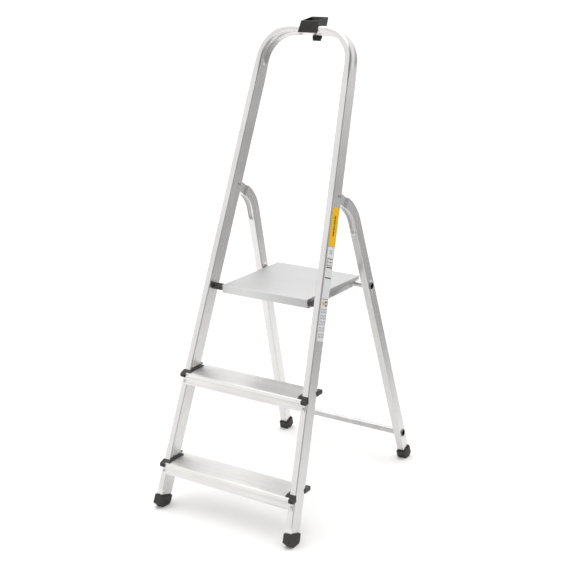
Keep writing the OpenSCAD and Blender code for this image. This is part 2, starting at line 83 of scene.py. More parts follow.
def bareAluminium(name, look):
    # mill-finish aluminium: lines left along the metal by the die or the rolls, cloudy handling patches,
    # a fine satin grain and paler rubbed corners; the eye sees long soft streaks in a grey-white sheen
    material, tree = newMaterial(name)
    place = addNode(tree, "TexCoord", {}, [], "Object")
    follow = addNode(tree, "UVMap", {"uv_map": "tubeWrap"}, []) if look["onTube"] else place
    # one line every lineGap across the metal, one break every lineLength along it; the lines follow V of the
    # wrap map on a tube, and X on the other parts
    across, along = 1 / (look["lineGap"] * mm), 1 / (look["lineLength"] * mm)
    scale = (across, along, 1.0) if look["onTube"] else (along, across, across)
    lined = addNode(tree, "Mapping", {}, {"Vector": follow, "Scale": scale})
    lines = addNode(tree, "TexNoise", {}, {"Vector": lined, "Scale": 1.0, "Detail": 3.0, "Roughness": 0.6})
    cloud = addNode(tree, "TexNoise", {}, {"Vector": place, "Scale": 1 / (look["patch"] * mm), "Detail": 3.0})
    grain = addNode(tree, "TexNoise", {}, {"Vector": place, "Scale": 1 / (look["grain"] * mm), "Detail": 2.0})
    point = addNode(tree, "NewGeometry", {}, [], "Pointiness")
    rubbed = addNode(tree, "MapRange", {}, [point, look["rubFrom"], look["rubTo"], 0.0, look["rubAmount"]])
    # noise mostly lies between 0.3 and 0.7, so these ranges stretch the middle of it
    patches = addNode(tree, "MapRange", {}, [cloud, 0.35, 0.65, 0.0, 1.0])
    metal = addNode(tree, "MixRGB", {}, [patches, linearColour(look["dull"]), linearColour(look["bright"])])
    if look["paintedTopLight"]:
        # painted light: faces that point up are painted paler than the folded-down sides, as the top is lit
        # from above
        facing = addNode(tree, "SeparateXYZ", {}, [addNode(tree, "TexCoord", {}, [], "Normal")], "Z")
        topLightShare = addNode(tree, "MapRange", {}, [facing, look["upFrom"], look["upTo"], 0.0, 1.0])
        metal = addNode(tree, "MixRGB", {}, [topLightShare, metal, linearColour(look["paintedTopLight"])])
    shadeOfLine = addNode(tree, "MapRange", {}, [lines, 0.3, 0.6, 0.0, 1.0])
    darkLine, lightLine = linearColour(look["lineDark"]), linearColour(look["lineLight"])
    lineColour = addNode(tree, "MixRGB", {}, [shadeOfLine, darkLine, lightLine])
    streaked = addNode(tree, "MixRGB", {"blend_type": "MULTIPLY"}, [look["streak"], metal, lineColour])
    worn = addNode(tree, "MixRGB", {}, [rubbed, streaked, linearColour(look["worn"])])
    # the bore attribute is 1 inside an open tube, where the colour is painted near black as painted shade for
    # the dark bore, and the metal is made rough
    bore = addNode(tree, "Attribute", {"attribute_name": "bore"}, [], "Fac")
    colour = addNode(tree, "MixRGB", {}, [bore, worn, linearColour(look["boreShadeColour"])])
    rougher, smoother = look["rough"] + look["lineRough"], look["rough"] - look["lineRough"]
    lineRough = addNode(tree, "MapRange", {}, [lines, 0.3, 0.7, smoother, rougher])
    patchRough = addNode(tree, "MapRange", {}, [cloud, 0.3, 0.7, -look["patchRough"], look["patchRough"]])
    satin = addNode(tree, "Math", {"operation": "ADD"}, [lineRough, patchRough])
    rough = addNode(tree, "Math", {"operation": "ADD", "use_clamp": True}, [satin, bore])
    height = addNode(tree, "Math", {"operation": "MULTIPLY_ADD"}, [grain, look["grainShare"], lines])
    lineBump = {"Height": height, "Strength": look["bump"], "Distance": look["lineDeep"] * mm}
    bump = addNode(tree, "Bump", {}, lineBump)
    if look["ribGap"]:
        # low ribs left by the die, running along X and one rib gap apart front to back; a wave texture has
        # a wave length of 2 pi / 20 at scale 1
        ribWave = {"Vector": place, "Scale": 2 * math.pi / (20 * look["ribGap"] * mm)}
        ribs = addNode(tree, "TexWave", {"bands_direction": "Y"}, ribWave)
        ribBump = {"Height": ribs, "Strength": look["ribBump"], "Distance": look["ribDeep"] * mm}
        bump = addNode(tree, "Bump", {}, dict(ribBump, Normal=bump))
    inputs = {"Base Color": colour, "Roughness": rough, "Normal": bump, "Metallic": look["metallic"]}
    addNode(tree, "OutputMaterial", {}, [addNode(tree, "BsdfPrincipled", {}, inputs)])
    return material


def mouldedPlastic(name, look):
    # black moulded plastic: a spark-eroded grain takes the gloss off, dust greys it in patches and its
    # corners scuff pale; the eye sees a soft dark sheen that is never quite black
    material, tree = newMaterial(name)
    place = addNode(tree, "TexCoord", {}, [], "Object")
    grain = addNode(tree, "TexNoise", {}, {"Vector": place, "Scale": 1 / (look["grain"] * mm), "Detail": 3.0})
    dust = addNode(tree, "TexNoise", {}, {"Vector": place, "Scale": 1 / (look["patch"] * mm), "Detail": 4.0})
    point = addNode(tree, "NewGeometry", {}, [], "Pointiness")
    scuffed = addNode(tree, "MapRange", {}, [point, look["scuffFrom"], look["scuffTo"], 0.0, look["scuff"]])
    dusty = addNode(tree, "MapRange", {}, [dust, 0.35, 0.7, 0.0, 1.0])
    body = addNode(tree, "MixRGB", {}, [dusty, linearColour(look["clean"]), linearColour(look["dusty"])])
    colour = addNode(tree, "MixRGB", {}, [scuffed, body, linearColour(look["worn"])])
    smoother, rougher = look["rough"] - look["smoother"], look["rough"] + look["rougher"]
    rough = addNode(tree, "MapRange", {}, [dust, 0.3, 0.7, smoother, rougher])
    grainBump = {"Height": grain, "Strength": look["bump"], "Distance": look["grainDeep"] * mm}
    bump = addNode(tree, "Bump", {}, grainBump)
    inputs = {"Base Color": colour, "Roughness": rough, "Normal": bump, "IOR": look["ior"]}
    inputs["Specular IOR Level"] = look["shine"]
    addNode(tree, "OutputMaterial", {}, [addNode(tree, "BsdfPrincipled", {}, inputs)])
    return material


def printedFilm(name, look):
    # printed vinyl film: flat ink under a thin gloss coat, a faint roller texture and a little yellowing in
    # patches; the eye sees clean even colour with a weak shine
    material, tree = newMaterial(name)
    place = addNode(tree, "TexCoord", {}, [], "Object")
    ink = addNode(tree, "Attribute", {"attribute_name": "ink"}, [], "Color")
    age = addNode(tree, "TexNoise", {}, {"Vector": place, "Scale": 1 / (look["patch"] * mm), "Detail": 3.0})
    rollerNoise = {"Vector": place, "Scale": 1 / (look["grain"] * mm), "Detail": 2.0}
    roller = addNode(tree, "TexNoise", {}, rollerNoise)
    aged = addNode(tree, "MapRange", {}, [age, 0.4, 0.75, 0.0, look["agedAmount"]])
    colour = addNode(tree, "MixRGB", {"blend_type": "MULTIPLY"}, [aged, ink, linearColour(look["aged"])])
    smoother, rougher = look["rough"] - look["smoother"], look["rough"] + look["rougher"]
    rough = addNode(tree, "MapRange", {}, [age, 0.3, 0.7, smoother, rougher])
    rollerBump = {"Height": roller, "Strength": look["bump"], "Distance": look["grainDeep"] * mm}
    bump = addNode(tree, "Bump", {}, rollerBump)
    inputs = {"Base Color": colour, "Roughness": rough, "Normal": bump, "IOR": look["ior"]}
    inputs["Specular IOR Level"] = look["shine"]
    addNode(tree, "OutputMaterial", {}, [addNode(tree, "BsdfPrincipled", {}, inputs)])
    return material


# what the finishes are made with: gaps, lengths, patches, grains and depths in millimetres, colours in sRGB
# hex. Line gaps, grains and rib gaps are drawn coarser than the real ones, so that they show.
# the near-black bore colour is painted shade inside the open cross tubes
drawnAluminium = {
    "onTube": True, "lineGap": 1.3, "lineLength": 220, "lineDeep": 0.2, "lineDark": "#B4B4B6",
    "lineLight": "#FFFFFF", "patch": 140, "grain": 1.4, "grainShare": 0.5, "dull": "#D6D4D3",
    "bright": "#DEDCDB", "worn": "#F0F0F0", "boreShadeColour": "#141313", "streak": 0.14, "rough": 0.27,
    "lineRough": 0.07, "patchRough": 0.02, "bump": 0.02, "metallic": 1.0, "ribGap": 0, "ribBump": 0,
    "ribDeep": 0.3, "rubFrom": 0.53, "rubTo": 0.62, "rubAmount": 0.5, "paintedTopLight": None, "upFrom": 0.85,
    "upTo": 0.98,
}
crossTubeAluminium = dict(drawnAluminium, lineGap=0.8, patch=60, dull="#B9B8B8", bright="#C6C5C5", rough=0.3)
extrudedAluminium = dict(
    drawnAluminium, onTube=False, lineGap=2.6, lineLength=600, patch=120, dull="#DCDAD8", bright="#E4E2E0",
    streak=0.16, rough=0.42, bump=0.09, metallic=0.9, ribGap=4.2, ribBump=0.35,
)
# the platform's paler colour on its upward faces is painted light from above
rolledAluminium = dict(
    drawnAluminium, onTube=False, lineGap=3.2, lineLength=500, patch=160, dull="#A9A9AA", bright="#B1B1B1",
    streak=0.18, rough=0.5, metallic=0.9, ribGap=8.0, ribBump=0.3, paintedTopLight="#CACACA",
)
zincPlatedSteel = dict(
    drawnAluminium, onTube=False, lineGap=1.2, lineLength=2, patch=15, dull="#A9A8A6", bright="#CBCAC8",
    streak=0.3, rough=0.28,
)
mouldedPolypropylene = {
    "grain": 1.1, "grainDeep": 0.3, "patch": 26, "clean": "#161515", "dusty": "#232121", "worn": "#4B4845",
    "scuff": 0.5, "scuffFrom": 0.52, "scuffTo": 0.62, "rough": 0.42, "smoother": 0.08, "rougher": 0.1,
    "bump": 0.25, "ior": 1.49, "shine": 0.35,
}
thermoplasticRubber = dict(
    mouldedPolypropylene, grain=1.4, clean="#1C1A1A", dusty="#2F2C2A", worn="#5E5954", rough=0.56, bump=0.35,
    ior=1.52,
)
mouldedAcetal = dict(mouldedPolypropylene, clean="#2A2828", dusty="#353232", rough=0.26, bump=0.1, shine=0.6)
printedVinyl = {
    "grain": 2.0, "grainDeep": 0.05, "patch": 30, "aged": "#F3E9CF", "agedAmount": 0.35, "rough": 0.34,
    "smoother": 0.06, "rougher": 0.08, "bump": 0.05, "ior": 1.48, "shine": 0.12,
}

finishes = {
    "handrail_aluminium": bareAluminium("drawnAluminiumHandrail", drawnAluminium),
    "leg_aluminium": bareAluminium("drawnAluminiumLeg", drawnAluminium),
    "cross_tube_aluminium": bareAluminium("drawnAluminiumCrossTube", crossTubeAluminium),
    "tread_aluminium": bareAluminium("extrudedAluminiumTread", extrudedAluminium),
    "platform_aluminium": bareAluminium("rolledAluminiumPlatform", rolledAluminium),
    "tread_cap_plastic": mouldedPlastic("mouldedPolypropyleneCap", mouldedPolypropylene),
    "foot_plastic": mouldedPlastic("thermoplasticRubberFoot", thermoplasticRubber),
    "clip_plastic": mouldedPlastic("mouldedPolypropyleneClip", mouldedPolypropylene),
    "bush_plastic": mouldedPlastic("mouldedAcetalBush", mouldedAcetal),
    "pivot_steel": bareAluminium("zincPlatedSteelPivot", zincPlatedSteel),
    "rivet_steel": bareAluminium("zincPlatedSteelRivet", zincPlatedSteel),
    "yellow_label": printedFilm("printedVinylYellow", printedVinyl),
    "silver_label": printedFilm("printedVinylSilver", printedVinyl),
}
for name, item in nodes.items():
    item.data.materials.clear()
    item.data.materials.append(finishes[slotOf[name]])
print("finishes made:", len(finishes))


def placePiece(name, mesh, node):
    # the piece takes the finish, body and slot of the CAD node it stands for
    piece = bpy.data.objects.new(name, mesh)
    bpy.context.scene.collection.objects.link(piece)
    mesh.materials.append(finishes[slotOf[node]])
    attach(piece, bodyOf[node])
    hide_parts(node)
    return piece


def softEdges(look, node, width):
    # the node's own shape with its hard edges rounded, as a moulding or a trimmed part has
    shape = bmesh.new()
    shape.from_mesh(nodes[node].data)
    bmesh.ops.remove_doubles(shape, verts=shape.verts, dist=look["mergeGap"] * mm)
    flat = math.radians(look["flatAngle"])
    bmesh.ops.dissolve_limit(shape, angle_limit=flat, verts=shape.verts, edges=shape.edges)
    bmesh.ops.recalc_face_normals(shape, faces=shape.faces)
    mesh = bpy.data.meshes.new(node + "_soft")
    shape.to_mesh(mesh)
    shape.free()
    mesh.polygons.foreach_set("use_smooth", np.ones(len(mesh.polygons), bool))
    piece = placePiece(node + "_soft", mesh, node)
    rounding = piece.modifiers.new("roundedEdges", "BEVEL")
    rounding.width = width * mm
    rounding.segments = look["segments"]
    rounding.limit_method = "ANGLE"
    rounding.angle_limit = math.radians(look["sharpAngle"])
    rounding.harden_normals = True


def smoothStep(share):
    # 0 to 1 with flat ends
    share = np.clip(share, 0, 1)
    return share * share * (3 - 2 * share)


def roundedRing(width, depth, corner, sideSteps, faceSteps, cornerSteps=6):
    # points round a rectangle with round corners, from the +A side towards +B: each side is a straight row
    # of points, each corner an arc of the corner radius. Gives offsets along A and B and the distance round.
    halfA, halfB = width / 2 - corner, depth / 2 - corner
    up = np.linspace(-halfB, halfB, sideSteps + 1)
    across = np.linspace(-halfA, halfA, faceSteps + 1)
    arc = np.linspace(0, np.pi / 2, cornerSteps + 1)[1:-1]
    cosine, sine = np.cos(arc) * corner, np.sin(arc) * corner
    a = np.concatenate(
        [np.full(len(up), width / 2), halfA + cosine, across[::-1], -halfA - sine,
         np.full(len(up), -width / 2), -halfA - cosine, across, halfA + sine]
    )
    b = np.concatenate(
        [up, halfB + sine, np.full(len(across), depth / 2), halfB + cosine,
         up[::-1], -halfB - sine, np.full(len(across), -depth / 2), -halfB - cosine]
    )
    steps = np.hypot(np.diff(a, append=a[:1]), np.diff(b, append=b[:1]))
    return a, b, np.concatenate([[0], np.cumsum(steps)])


def sweptTube(name, centres, sideAxis, depthAxis, offsetA, offsetB, along, around, keep=None, bore=None):
    # vertex (i, j) = centre i + side axis i times offset A (i, j) + depth axis i times offset B (i, j);
    # quads join each ring to the next, the keep mask leaves out the faces of a slot, the wrap map holds the
    # distance round the ring and along the tube, and bore gives each ring's share of painted shade inside
    rings, columns = offsetA.shape
    points = (
        centres[:, None, :]
        + sideAxis[:, None, :] * offsetA[:, :, None]
        + depthAxis[:, None, :] * offsetB[:, :, None]
    )
    i, j = np.meshgrid(np.arange(rings - 1), np.arange(columns), indexing="ij")
    nextJ = (j + 1) % columns
    here, beyond = i * columns, (i + 1) * columns
    quads = np.stack([here + j, here + nextJ, beyond + nextJ, beyond + j], -1)
    wrapU = np.stack([around[j], around[j + 1], around[j + 1], around[j]], -1)
    wrapV = np.stack([along[i], along[i], along[i + 1], along[i + 1]], -1)
    shown = np.ones(i.shape, bool) if keep is None else keep
    mesh = bpy.data.meshes.new(name)
    mesh.from_pydata((points.reshape(-1, 3) * mm).tolist(), [], quads[shown].tolist())
    wrap = np.stack([wrapU[shown].ravel(), wrapV[shown].ravel()], -1) * mm
    mesh.uv_layers.new(name="tubeWrap").data.foreach_set("uv", wrap.ravel().astype(np.float32))
    mesh.polygons.foreach_set("use_smooth", np.ones(len(mesh.polygons), bool))
    if bore is not None:
        shade = mesh.attributes.new("bore", "FLOAT", "POINT")
        shade.data.foreach_set("value", np.repeat(bore, columns).astype(np.float32))
    mesh.update()
    return mesh


def addWall(piece, thickness):
    # the tube's wall, grown inwards from its outer skin
    wall = piece.modifiers.new("tubeWall", "SOLIDIFY")
    wall.thickness = thickness * mm
    wall.offset = -1


def pressedHollow(along, across, start, end, half, soft, runOut):
    # 1 within the half width of the line between start and end, falling to 0 over the soft width; the round
    # ends just reach start and end, and are drawn out along the line by the run-out factor
    inset = half * runOut
    beyond = np.maximum(np.maximum(start + inset - along, along - end + inset), 0) / runOut
    return smoothStep((half - np.hypot(beyond, across)) / soft)


# the front frame: one tube bent into the handrail, pressed hollow where it bends; millimetres and degrees.
# The steps are how many stretches each part of the path and of the section is cut into.
handrail = {
    "middleY": 337.3, "lean": 19.2, "splay": 3.32, "half": 213.9, "width": 18.2, "depth": 44.0, "corner": 2.6,
    "top": 1244.0, "bendRadius": 85.0, "start": 22.0, "wall": 1.3, "roundCorner": 6.5, "roundReach": 70.0,
    "hollowDeep": 7.5, "hollowHalf": 18.0, "hollowSoft": 8.5, "hollowBelow": 18.0, "hollowAbove": 34.0,
    "runOut": 2.2, "flatDeep": 2.6, "flatHalf": 19.0, "flatSoft": 12.0, "slotHalf": 7.6, "slotBelow": 40.0,
    "slotAbove": 14.0, "pivotY": 323.0, "pivotZ": 831.0, "lowSteps": 23, "slotSteps": 4, "midSteps": 11,
    "closeSteps": 40, "bendSteps": 80, "barSteps": 32, "sideSteps": 34, "faceSteps": 4,
}


def buildHandrail(look):
    # path: straight upright, arc of the bend radius, then the top bar, mirrored about the middle; the frame
    # leans back about X, so a point (x, v) of the path goes to Y = v sin + n cos and Z = v cos - n sin
    lean, splay = math.radians(look["lean"]), math.radians(look["splay"])
    radius, width, depth = look["bendRadius"], look["width"], look["depth"]
    barV = look["top"] / math.cos(lean) - width / 2
    footX = look["half"] - width / 2
    turn = math.pi / 2 - splay
    run = radius * math.tan(turn / 2)
    barHalf = footX - math.tan(splay) * barV - run
    legLength = barV / math.cos(splay) - run
    pivotV = look["pivotY"] * math.sin(lean) + look["pivotZ"] * math.cos(lean)
    slotLow = pivotV / math.cos(splay) - look["slotBelow"]
    slotHigh = pivotV / math.cos(splay) + look["slotAbove"]
    closeBy = legLength - look["roundReach"]
    straight = np.concatenate(
        [np.linspace(look["start"], slotLow, look["lowSteps"] + 1),
         np.linspace(slotLow, slotHigh, look["slotSteps"] + 1)[1:],
         np.linspace(slotHigh, closeBy, look["midSteps"] + 1)[1:],
         np.linspace(closeBy, legLength, look["closeSteps"] + 1)[1:-1]]
    )
    angles = np.linspace(0, turn, look["bendSteps"] + 1)
    bar = np.linspace(0, 1, look["barSteps"] + 1)[1:]
    x = np.concatenate(
        [footX - np.sin(splay) * straight, barHalf + radius * np.cos(splay + angles), barHalf * (1 - bar)]
    )
    v = np.concatenate(
        [np.cos(splay) * straight, barV - radius + radius * np.sin(splay + angles), np.full(len(bar), barV)]
    )
    direction = np.concatenate(
        [np.full(len(straight), splay), splay + angles, np.full(len(bar), math.pi / 2)]
    )
    along = np.concatenate(
        [straight, legLength + radius * angles, legLength + radius * turn + barHalf * bar]
    )
    full = 2 * along[-1]
    x, v = np.concatenate([x, -x[-2::-1]]), np.concatenate([v, v[-2::-1]])
    direction = np.concatenate([direction, math.pi - direction[-2::-1]])
    along = np.concatenate([along, full - along[-2::-1]])
    sine, cosine = math.sin(lean), math.cos(lean)
    sideAxis = np.stack([np.cos(direction), np.sin(direction) * sine, np.sin(direction) * cosine], -1)
    depthAxis = np.tile([0, cosine, -sine], (len(x), 1))
    n = depth / 2
    centres = np.stack([x, v * sine + n * cosine - look["middleY"], v * cosine - n * sine], -1)
    # the section is square-cornered in the uprights and rounder from the bends to the top bar
    steps = look["sideSteps"], look["faceSteps"]
    a, b, around = roundedRing(width, depth, look["corner"], *steps)
    roundA, roundB, _ = roundedRing(width, depth, look["roundCorner"], *steps)
    fromEnd = np.minimum(along, full - along)
    rounder = smoothStep((fromEnd - closeBy) / look["roundReach"])[:, None]
    offsetA, offsetB = a + rounder * (roundA - a), b + rounder * (roundB - b)
    # the rear wall's columns are spread evenly between the edges of the slots that take the leg tops
    rear = np.flatnonzero((b > 0) & (np.abs(a) <= look["slotHalf"]))
    slotColumns = np.linspace(look["slotHalf"], -look["slotHalf"], len(rear))
    offsetA[:, rear] += (1 - rounder) * (slotColumns * np.sign(a[rear[0]]) - a[rear])
    # the press leaves a deep hollow inside each bend and a shallow flat outside it
    pressFrom, pressTo = legLength - look["hollowBelow"], legLength + radius * turn + look["hollowAbove"]
    for low, high in ((pressFrom, pressTo), (full - pressTo, full - pressFrom)):
        line = (along[:, None], b, low, high)
        hollow = pressedHollow(*line, look["hollowHalf"], look["hollowSoft"], look["runOut"])
        flat = pressedHollow(*line, look["flatHalf"], look["flatSoft"], look["runOut"])
        offsetA += np.where(np.isclose(a, -width / 2), hollow * look["hollowDeep"], 0)
        offsetA -= np.where(np.isclose(a, width / 2), flat * look["flatDeep"], 0)
    middle = (fromEnd[:-1] + fromEnd[1:]) / 2
    keep = np.ones((len(x) - 1, len(a)), bool)
    keep[np.ix_((middle > slotLow) & (middle < slotHigh), rear[:-1])] = False
    mesh = sweptTube("handrail_tube", centres, sideAxis, depthAxis, offsetA, offsetB, along, around, keep)
    addWall(placePiece("handrail_tube", mesh, "front_frame_tube"), look["wall"])


# the cross tubes' ends are opened out over the legs and the bore behind them is painted dark as shade; the
# holes in the legs are wider than the tubes by the play, and the drum that cuts them reaches past the tube by
# drumPast
crossTube = {
    "wall": 1.15, "flare": 1.4, "flareLength": 2.0, "sides": 48, "lipInside": 0.6, "play": 0.05,
    "drumPast": 20.0, "flareSteps": 6, "bodySteps": 8,
}


def cutHoles(look, piece, tubes):
    # a round hole through the piece for each cross tube: a drum along X, t to (Y, Z) = r (cos t, sin t),
    # taken away after the wall has its thickness
    sides, past = look["sides"], look["drumPast"] * mm
    t = np.arange(sides) / sides * 2 * np.pi
    for node in tubes:
        low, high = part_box(node)
        radius = (high[2] - low[2]) / 2 - (look["flare"] - look["play"]) * mm
        y, z = (high[1] + low[1]) / 2 + radius * np.cos(t), (high[2] + low[2]) / 2 + radius * np.sin(t)
        ends = [np.stack([np.full(sides, end), y, z], -1) for end in (low[0] - past, high[0] + past)]
        first = np.arange(sides)
        walls = np.stack([first, (first + 1) % sides, (first + 1) % sides + sides, first + sides], -1)
        mesh = bpy.data.meshes.new("drum")
        faces = walls.tolist() + [first[::-1].tolist(), (first + sides).tolist()]
        mesh.from_pydata(np.concatenate(ends).tolist(), [], faces)
        shape = bmesh.new()
        shape.from_mesh(mesh)
        bmesh.ops.recalc_face_normals(shape, faces=shape.faces)
        shape.to_mesh(mesh)
        shape.free()
        drum = bpy.data.objects.new("drum", mesh)
        bpy.context.scene.collection.objects.link(drum)
        hole = piece.modifiers.new("crossTubeHole", "BOOLEAN")
        hole.object = drum
        cutMesh = bpy.data.meshes.new_from_object(piece.evaluated_get(bpy.context.evaluated_depsgraph_get()))
        piece.modifiers.clear()
        piece.data = cutMesh
        bpy.data.objects.remove(drum)


# the rear legs: millimetres and degrees; the press leaves a groove inside the bend, and the last closeReach
# below the bend is cut finer so that the groove's end is smooth. shoulderFirst is the first ring's share of
# the shoulder, and headFirst how far past the shoulder the head's first ring stands.
rearLeg = {
    "middleY": 337.3, "lean": 18.2, "frontY": 639.0, "half": 214.9, "width": 22.0, "depth": 31.2,
    "corner": 2.6, "wall": 1.2, "start": 12.0, "bend": 38.8, "bendRadius": 108.0, "headWidth": 12.8,
    "headDepth": 27.6, "headLength": 38.0, "shoulder": 5.0, "tip": 12.0, "hollowDeep": 8.0,
    "hollowHalf": 8.6, "hollowSoft": 5.5, "hollowBelow": 30.0, "runOut": 1.6, "flatDeep": 0.8,
    "closeReach": 60.0, "lowSteps": 25, "closeSteps": 40, "bendSteps": 60, "neckSteps": 11,
    "shoulderSteps": 6, "shoulderFirst": 0.17, "headFirst": 1.0, "headSteps": 7, "sideSteps": 8,
    "faceSteps": 18,
}


def buildLeg(look, rail, side, node):
    # path: straight leg, arc of the bend radius forward, then a straight top that steps in to a narrow head;
    # in the leg's own plane n runs rearwards and s along it, turned by the splay and then by the lean
    lean, turn = math.radians(look["lean"]), math.radians(look["bend"])
    frontLean, frontSplay = math.radians(rail["lean"]), math.radians(rail["splay"])
    width, depth, radius = look["width"], look["depth"], look["bendRadius"]
    head, shoulder = look["headLength"], look["shoulder"]
    pivotV = rail["pivotY"] * math.sin(frontLean) + rail["pivotZ"] * math.cos(frontLean)
    pivotX = rail["half"] - rail["width"] / 2 - math.tan(frontSplay) * pivotV
    footX = look["half"] - width / 2
    behind = rail["pivotY"] - look["frontY"]
    pivotN = behind * math.cos(lean) + rail["pivotZ"] * math.sin(lean)
    pivotW = rail["pivotZ"] * math.cos(lean) - behind * math.sin(lean)
    splay = math.atan((footX - pivotX) / pivotW)
    reach = (depth / 2 - pivotN) / math.sin(turn)
    run = radius * math.tan(turn / 2)
    past = reach - run
    bendAt = pivotW / math.cos(splay) - reach * math.cos(turn) - run
    neck, closeBy = past - head - shoulder, bendAt - look["closeReach"]
    straight = np.concatenate(
        [np.linspace(look["start"], closeBy, look["lowSteps"] + 1),
         np.linspace(closeBy, bendAt, look["closeSteps"] + 1)[1:-1]]
    )
    angles = np.linspace(0, turn, look["bendSteps"] + 1)
    top = np.concatenate(
        [np.linspace(0, neck, look["neckSteps"] + 1)[1:],
         neck + shoulder * np.linspace(look["shoulderFirst"], 1, look["shoulderSteps"]),
         np.linspace(past - head + look["headFirst"], past + look["tip"], look["headSteps"] + 1)]
    )
    n = np.concatenate(
        [np.full(len(straight), depth / 2), depth / 2 - radius + radius * np.cos(angles),
         depth / 2 - radius + radius * np.cos(turn) - np.sin(turn) * top]
    )
    s = np.concatenate(
        [straight, bendAt + radius * np.sin(angles), bendAt + radius * np.sin(turn) + np.cos(turn) * top]
    )
    direction = np.concatenate([np.zeros(len(straight)), angles, np.full(len(top), turn)])
    along = np.concatenate([straight, bendAt + radius * angles, bendAt + radius * turn + top])
    x, w = side * (footX - np.sin(splay) * s), np.cos(splay) * s
    centres = np.stack(
        [x, look["frontY"] - look["middleY"] + n * math.cos(lean) - w * math.sin(lean),
         n * math.sin(lean) + w * math.cos(lean)], -1
    )
    sideways = side * math.sin(splay)
    sideAxis = np.tile([math.cos(splay), -sideways * math.sin(lean), sideways * math.cos(lean)], (len(x), 1))
    rearward, upward = np.cos(direction), np.sin(direction) * math.cos(splay)
    depthAxis = np.stack(
        [-sideways * np.sin(direction), rearward * math.cos(lean) - upward * math.sin(lean),
         rearward * math.sin(lean) + upward * math.cos(lean)], -1
    )
    a, b, around = roundedRing(width, depth, look["corner"], look["sideSteps"], look["faceSteps"])
    toPivot = bendAt + radius * turn + past - along
    narrow = smoothStep((head + shoulder - toPivot) / shoulder)[:, None]
    offsetA = a * (1 - narrow * (1 - look["headWidth"] / width))
    offsetB = b * (1 - narrow * (1 - look["headDepth"] / depth))
    hollow = pressedHollow(
        along[:, None], a, bendAt - look["hollowBelow"], bendAt + radius * turn + neck,
        look["hollowHalf"], look["hollowSoft"], look["runOut"]
    )
    offsetB += np.where(np.isclose(b, -depth / 2), hollow * look["hollowDeep"], 0)
    offsetB -= np.where(np.isclose(b, depth / 2), hollow * look["flatDeep"], 0)
    mesh = sweptTube(node + "_tube", centres, sideAxis, depthAxis, offsetA, offsetB, along, around)
    piece = placePiece(node + "_tube", mesh, node)
    addWall(piece, look["wall"])
    cutHoles(crossTube, piece, ["upper_cross_tube", "lower_cross_tube"])


buildHandrail(handrail)
buildLeg(rearLeg, handrail, -1, "left_rear_leg")
buildLeg(rearLeg, handrail, 1, "right_rear_leg")
print("frame tubes bent")


def buildCrossTube(look, node):
    # a ring carried along X, its radius opening out at both ends: along the outside, over the lip and back
    # through the bore, so the profile closes on itself; angle t goes to Y = r cos t, Z = r sin t
    low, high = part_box(node)
    half, radius = (high[0] - low[0]) / 2 / mm, (high[2] - low[2]) / 2 / mm
    middleY, middleZ = (high[1] + low[1]) / 2 / mm, (high[2] + low[2]) / 2 / mm
    plain = radius - look["flare"]
    flareShare = np.linspace(0, 1, look["flareSteps"] + 1)
    flareX = half - look["flareLength"] * (1 - flareShare)
    flareR = plain + look["flare"] * smoothStep(flareShare)
    bodyX = np.linspace(-1, 1, look["bodySteps"] + 1)[1:-1] * (half - look["flareLength"])
    outerX = np.concatenate([-flareX[::-1], bodyX, flareX])
    outerR = np.concatenate([flareR[::-1], np.full(len(bodyX), plain), flareR])
    profileX = np.concatenate([outerX, outerX[::-1]])
    profileR = np.concatenate([outerR, outerR[::-1] - look["wall"]])
    inside = smoothStep((half - np.abs(outerX[::-1])) / look["lipInside"])
    bore = np.concatenate([np.zeros(len(outerX)), inside])
    profileX, profileR, bore = (np.append(values, values[0]) for values in (profileX, profileR, bore))
    turn = np.arange(look["sides"]) / look["sides"] * 2 * np.pi
    rings = len(profileX)
    centres = np.stack([profileX, np.full(rings, middleY), np.full(rings, middleZ)], -1)
    # turning from Y towards Z as X grows keeps the faces outward
    offsetA = profileR[:, None] * np.cos(turn)
    offsetB = profileR[:, None] * np.sin(turn)
    sideAxis, depthAxis = np.tile([0.0, 1.0, 0.0], (rings, 1)), np.tile([0.0, 0.0, 1.0], (rings, 1))
    around = np.arange(look["sides"] + 1) / look["sides"] * 2 * np.pi * radius
    mesh = sweptTube(
        node + "_tube", centres, sideAxis, depthAxis, offsetA, offsetB, profileX, around, bore=bore
    )
    shape = bmesh.new()
    shape.from_mesh(mesh)
    # the profile's last ring lies on its first
    bmesh.ops.remove_doubles(shape, verts=shape.verts, dist=0.001 * mm)
    shape.to_mesh(mesh)
    shape.free()
    placePiece(node + "_tube", mesh, node)


buildCrossTube(crossTube, "upper_cross_tube")
buildCrossTube(crossTube, "lower_cross_tube")
print("cross tubes flared")

# widths in millimetres of the rounded edges, by the last word of the node's name; angles in degrees
edgeLook = {"segments": 3, "sharpAngle": 28, "flatAngle": 1.5, "mergeGap": 0.01}
edgeWidths = {
    "cap": 0.7, "foot": 0.6, "clip": 0.5, "tread": 0.25, "bush": 0.35, "pin": 0.4, "rivet": 0.3, "tray": 0.3,
}
for name in nodes:
    kind = name.split("_")[-1]
    if kind in edgeWidths:
        softEdges(edgeLook, name, edgeWidths[kind])
print("mouldings, treads and platform edges softened")

